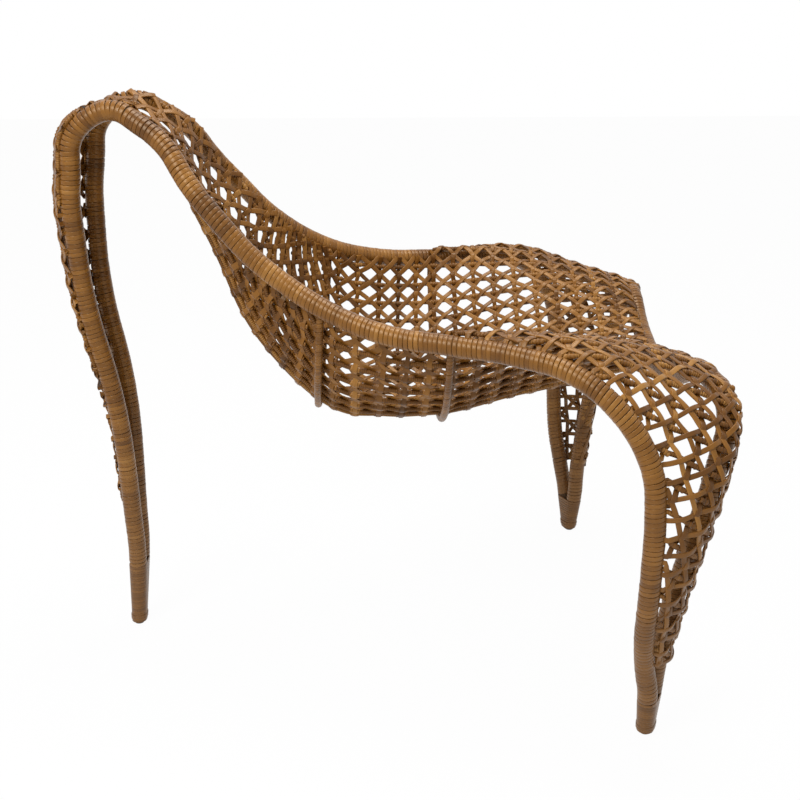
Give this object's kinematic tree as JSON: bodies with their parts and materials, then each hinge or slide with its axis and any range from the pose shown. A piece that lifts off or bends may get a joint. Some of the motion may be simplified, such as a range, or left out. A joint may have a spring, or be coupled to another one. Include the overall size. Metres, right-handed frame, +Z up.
{
  "type": "woven rattan lounge chair",
  "caption": "Three-legged rattan lounge chair: cane-wound poles bent into one wave, with an open cane lattice for the back, the seat and the thigh rolls.",
  "frame": {"origin": "on the floor under the middle of the chair's width and length", "axes": "+Z up, the sitter faces -Y, +X is the sitter's left"},
  "size_m": [0.8114, 0.9362, 0.8623],
  "materials": {
    "pole": "natural rattan, dry",
    "binding": "flat cane, satin, honey brown",
    "weave": "split cane, satin, honey brown",
    "glide": "matte dark",
    "steel": "plain"
  },
  "bodies": {
    "root": {"right_side_pole": "pole", "left_side_pole": "pole", "front_arch_pole": "pole", "rear_rib": "pole", "middle_rib": "pole", "right_side_binding": "binding", "left_side_binding": "binding", "front_arch_binding": "binding", "rear_rib_binding": "binding", "middle_rib_binding": "binding", "rear_foot_binding": "binding", "right_foot_binding": "binding", "left_foot_binding": "binding", "rear_foot_glide": "glide", "right_foot_glide": "glide", "left_foot_glide": "glide", "glide_nails": "steel", "foot_pins": "pole", "rib_nails": "steel", "rear_leg_lattice": "weave", "back_lattice": "weave", "seat_lattice": "weave", "right_knee_lattice": "weave", "left_knee_lattice": "weave"}
  },
  "joints": []
}
